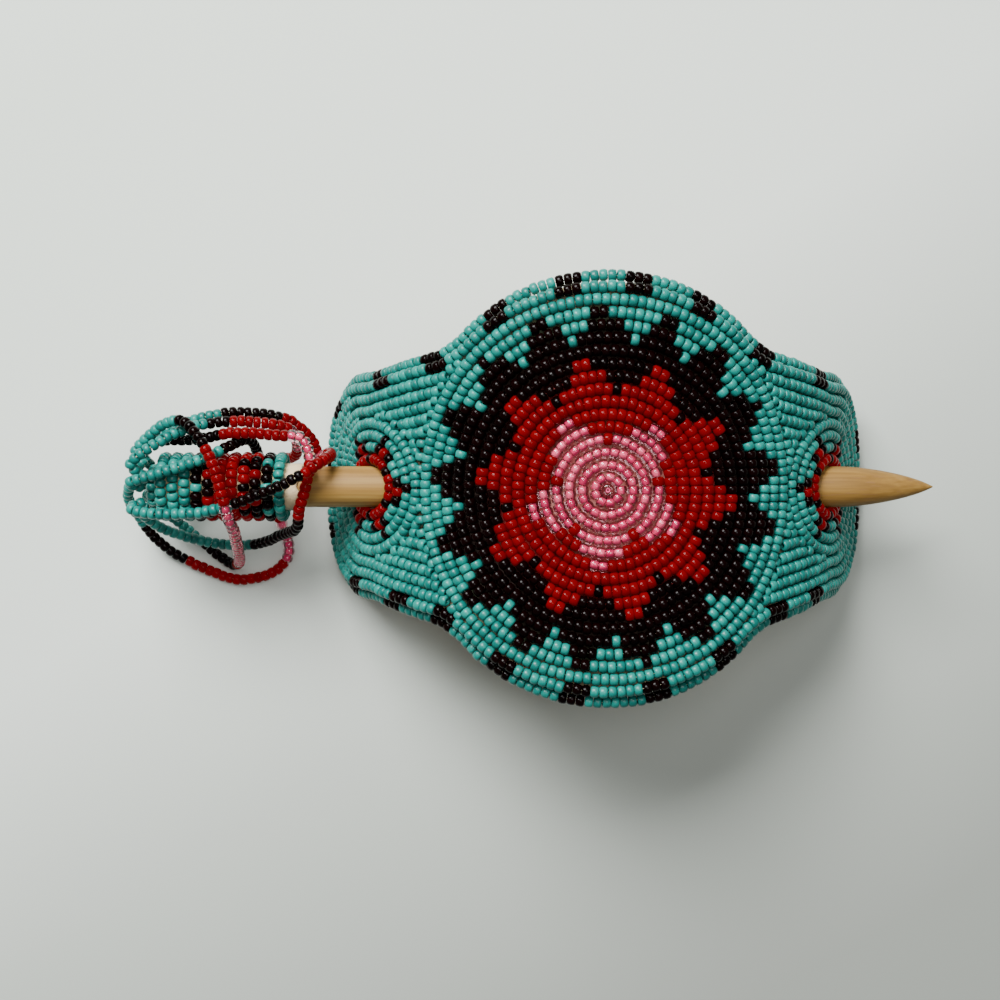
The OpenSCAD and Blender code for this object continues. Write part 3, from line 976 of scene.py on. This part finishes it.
def bent_sheet(name, node, top, bottom, finish):
    """A sheet between two heights, with its rim and both stick holes cut."""
    rim = outline(RIM_ROW)[::6]
    s, t = np.arange(-GRID_HALF_S, GRID_HALF_S + 1, 2.0), np.arange(-GRID_HALF_T, GRID_HALF_T + 1, 6.0)
    grid = np.stack(np.meshgrid(s, t), -1).reshape(-1, 2)
    holes = [hole_loop(sign, (top + bottom) / 2) for sign in (-1, 1)]
    grid = grid[inside(grid, rim * 0.98)]
    for hole in holes:
        middle = hole.mean(0)
        grid = grid[~inside(grid, middle + (hole - middle) * HOLE_MARGIN)]
    loops = [rim, *holes]
    flat = np.vstack([*loops, grid])
    edges, start = [], 0
    for loop in loops:
        n = len(loop)
        edges += [(start + i, start + (i + 1) % n) for i in range(n)]
        start += n
    corners, _, triangles, *_ = delaunay_2d_cdt([Vector(p) for p in flat], edges, [], 0, 1e-7)
    corners = np.array([tuple(p) for p in corners])
    triangles = np.array(triangles)
    middles = corners[triangles].mean(1)
    kept = inside(middles, rim)
    for hole in holes:
        kept &= ~inside(middles, hole)
    triangles = triangles[kept]
    n = len(corners)
    points = np.vstack([place(corners, top), place(corners, bottom)])
    ahead = {(a, b) for t in triangles.tolist() for a, b in zip(t, t[1:] + t[:1])}
    walls = [[b, a, a + n, b + n] for a, b in ahead if (b, a) not in ahead]
    faces = triangles.tolist() + [[v + n for v in t[::-1]] for t in triangles.tolist()] + walls
    used = np.unique(np.concatenate([np.ravel(f) for f in faces]))
    number = -np.ones(2 * n, int)
    number[used] = np.arange(len(used))
    piece = add_piece(name, points[used], [[int(number[v]) for v in f] for f in faces], [finish], "panel")
    split_sharp_edges(piece, 50)
    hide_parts(node)


CLOTH_BOTTOM = -CLOTH_T
STIFF_TOP = CLOTH_BOTTOM - LAYER_GAP
LEATHER_TOP = STIFF_TOP - STIFFENER_T - LAYER_GAP
LEATHER_BOTTOM = LEATHER_TOP - LEATHER_T
bent_sheet("sewn_cloth", "bead_cloth", 0, CLOTH_BOTTOM, CLOTH)
bent_sheet("inner_stiffener", "stiffener", STIFF_TOP, STIFF_TOP - STIFFENER_T, STIFF)
bent_sheet("leather_back", "leather_backing", LEATHER_TOP, LEATHER_BOTTOM, HIDE)


# Stitches over the rim, which hold the rolled row and close the leather to the cloth.
RIM_STITCHES = 150
STITCH_ROWS = 0.9
STITCH_R = 0.14
STITCH_LEAN = 0.25
STITCH_SAG = 0.1
PAST_RIM = 0.08
RIM_HEIGHTS = np.array([-2.6, -1.8, -1.0])


def add_rim_stitches():
    outer = row_spots(outline(RIM_ROW), 0, True, RIM_STITCHES)[4]
    inner = row_spots(outline(RIM_ROW - STITCH_ROWS), 0, True, RIM_STITCHES)[4]
    tubes = []
    for i in range(len(outer)):
        lean = inner[(i + 1) % len(inner)] * STITCH_LEAN + inner[i] * (1 - STITCH_LEAN)
        steps = np.linspace(0, 1, 5)[:, None]
        sag = STITCH_SAG * np.sin(math.pi * steps.ravel())
        under = place(lean + (outer[i] - lean) * steps, LEATHER_BOTTOM - sag)
        past_rim = outer[i] + (outer[i] - inner[i]) * PAST_RIM
        around = place(np.tile(past_rim, (len(RIM_HEIGHTS), 1)), RIM_HEIGHTS)
        start = place(lean[None], LEATHER_BOTTOM + 0.3)
        tubes.append(tube_mesh(np.vstack([start, under[1:], around]), STITCH_R, 5))
    points, faces, shades = joined(tubes)
    stitches = add_piece("rim_stitches", points, faces, [THREAD], "panel", shades=shades)


add_rim_stitches()


# The stick, its leather sleeve and the beaded cap.
def lathe(profile, sides, wobble=None):
    """Points and quads of a shape turned round the stick's axis from (x, r) pairs."""
    x, r = np.asarray(profile, float).T
    a = round_angles(sides)
    radii = np.outer(np.ones(sides), r)
    if wobble is not None:
        radii = radii * (1 + wobble(a[:, None], x[None]))
    points = np.stack([np.broadcast_to(x, radii.shape), np.cos(a)[:, None] * radii,
                       np.sin(a)[:, None] * radii + STICK_Z], -1).reshape(-1, 3)
    n = len(x)
    i, k = np.meshgrid(np.arange(sides), np.arange(n - 1), indexing="ij")
    i2 = (i + 1) % sides
    faces = np.stack([i * n + k, i * n + k + 1, i2 * n + k + 1, i2 * n + k], -1).reshape(-1, 4)
    return points, faces.tolist()


def add_stick():
    """The dowel: a long rounded point, a plain shaft and a flat blunt end."""
    sides = 72
    u = np.linspace(0, 1, 26)[:-1] ** 0.9
    taper = np.stack([POINT_X - TAPER_LENGTH * (1 - u), STICK_R * (1 - u ** 1.8) ** 0.8], -1)
    shaft_x = np.linspace(BLUNT_X + 0.5, POINT_X - TAPER_LENGTH - 0.5, 60)
    shaft = np.stack([shaft_x, np.full(60, STICK_R)], -1)
    head = [[BLUNT_X, 0.4], [BLUNT_X, STICK_R - 0.5], [BLUNT_X + 0.15, STICK_R - 0.15]]
    profile = np.vstack([head, shaft, taper, [POINT_X - 0.02, 0.12]])

    def hand_sanded(a, x):
        return -0.006 + 0.003 * np.sin(3 * a + x / 9) + 0.003 * np.sin(5 * a - x / 4)

    points, faces = lathe(profile, sides, hand_sanded)
    n = len(profile)
    ends = [[i * n for i in range(sides)], [i * n + n - 1 for i in range(sides)][::-1]]
    stick = add_piece("wooden_stick", points, faces + ends, [WOOD], "stick")
    split_sharp_edges(stick, 60)
    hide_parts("stick")


def add_sleeve():
    """The leather sleeve under the cap, cut by hand and a little frayed where it shows."""
    sides = 96
    end = BLUNT_X + SLEEVE_LENGTH
    outer = [[x, SLEEVE_R] for x in np.linspace(BLUNT_X, end - 0.25, 24)]
    inner = [[x, STICK_R + 0.05] for x in np.linspace(end, BLUNT_X, 24)]
    profile = outer + [[end, SLEEVE_R - 0.22]] + inner
    points, faces = lathe(profile + [profile[0]], sides)
    a = np.arctan2(points[:, 2] - STICK_Z, points[:, 1])
    shown = np.clip((points[:, 0] - (end - 5)) / 5, 0, 1)
    points[:, 0] += shown * (-0.55 + 0.45 * np.sin(3 * a + 0.6) + 0.18 * np.sin(11 * a))
    sleeve = add_piece("leather_sleeve", points, faces, [PALE_HIDE], "stick")
    weld = sleeve.modifiers.new("closed seam", "WELD")
    weld.merge_threshold = 1e-6
    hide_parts("cap_sleeve")


ROUND_R = SLEEVE_R + BEAD_R + 0.08
ROUND_PITCH = 2 * BEAD_R + 0.1
CAP_POINTS = 7
CAP_COLUMNS = 21
ZIGZAG_WIDTH = 1.3
END_ROW_BEADS = {"outer": 14, "inner": 4}


def cap_colour(k, turn):
    """The cap's zigzags: turquoise, a dark line, deep red, a dark line and turquoise again."""
    zigzag = abs((turn * CAP_POINTS) % 1 - 0.5) * 2
    left, right = 2.3 + 1.4 * zigzag, 8.3 - 1.7 * zigzag
    if k < left or k > right + ZIGZAG_WIDTH:
        return "turquoise"
    if k < left + ZIGZAG_WIDTH or k > right:
        return "dark"
    return "ruby"


def cap_round(name, node, x, r, count, colour_of, shift=0.0):
    """A round of beads about the stick's axis, which replaces its plain CAD ring."""
    turn = (np.arange(count) + shift) / count
    a = 2 * math.pi * turn + math.pi / 2
    spots = np.stack([np.full(count, x), r * np.cos(a), STICK_Z + r * np.sin(a)], -1)
    ups = np.stack([0 * a, np.cos(a), np.sin(a)], -1)
    ways = np.stack([0 * a, -np.sin(a), np.cos(a)], -1)
    colours = [colour_of(t) for t in turn]
    beads = string_beads(name, spots, ways, ups, colours, "stick", wander=0.04, lean=0.09,
                         pitch=2 * math.pi * r / count)
    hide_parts(node)


def add_cap():
    for k in range(1, CAP_ROUNDS + 1):
        x = BLUNT_X + BEAD_R + (k - 1) * ROUND_PITCH
        cap_round(f"cap_beads_{k:02d}", f"cap_round_{k:02d}", x, ROUND_R, CAP_COLUMNS,
                  lambda turn, k=k: cap_colour(k - 1, turn), 0.5 * (k % 2))
    end_x = BLUNT_X - BEAD_R - LAYER_GAP
    for which, r in (("outer", ROUND_R - ROW_PITCH), ("inner", BEAD_R + LAYER_GAP)):
        cap_round(f"cap_end_beads_{which}", f"cap_end_row_{which}", end_x, r, END_ROW_BEADS[which],
                  lambda turn: "turquoise")


add_stick()
add_sleeve()
add_cap()


# Table, lamps and air, in metres and watts.
TABLE_HALF = 1.5
TABLE_DROP = 0.0001


def add_floor():
    mesh = bpy.data.meshes.new("table_top")
    corners = [(x * TABLE_HALF, y * TABLE_HALF, 0) for x, y in ((-1, -1), (1, -1), (1, 1), (-1, 1))]
    mesh.from_pydata(corners, [], [(0, 1, 2, 3)])
    mesh.materials.append(floor_finish())
    table = bpy.data.objects.new("table_top", mesh)
    table.location.z = -TABLE_DROP
    bpy.context.scene.collection.objects.link(table)


def add_lamp(name, spot, size, power):
    data = bpy.data.lights.new(name, "AREA")
    data.shape = "RECTANGLE"
    data.size, data.size_y = size
    data.energy = power
    lamp = bpy.data.objects.new(name, data)
    lamp.location = spot
    lamp.rotation_euler = (-Vector(spot)).to_track_quat("-Z", "Y").to_euler()
    bpy.context.scene.collection.objects.link(lamp)


def add_air(strength):
    world = bpy.data.worlds.new("studio")
    world.use_nodes = True
    world.node_tree.nodes["Background"].inputs["Color"].default_value = (0.95, 0.98, 1, 1)
    world.node_tree.nodes["Background"].inputs["Strength"].default_value = strength
    bpy.context.scene.world = world


add_floor()
add_lamp("key", spot=(-0.17, 0.37, 0.44), size=(0.3, 0.3), power=10)
add_lamp("window", spot=(0.12, 0.15, 0.9), size=(0.5, 0.3), power=3.2)
add_air(strength=0.2)
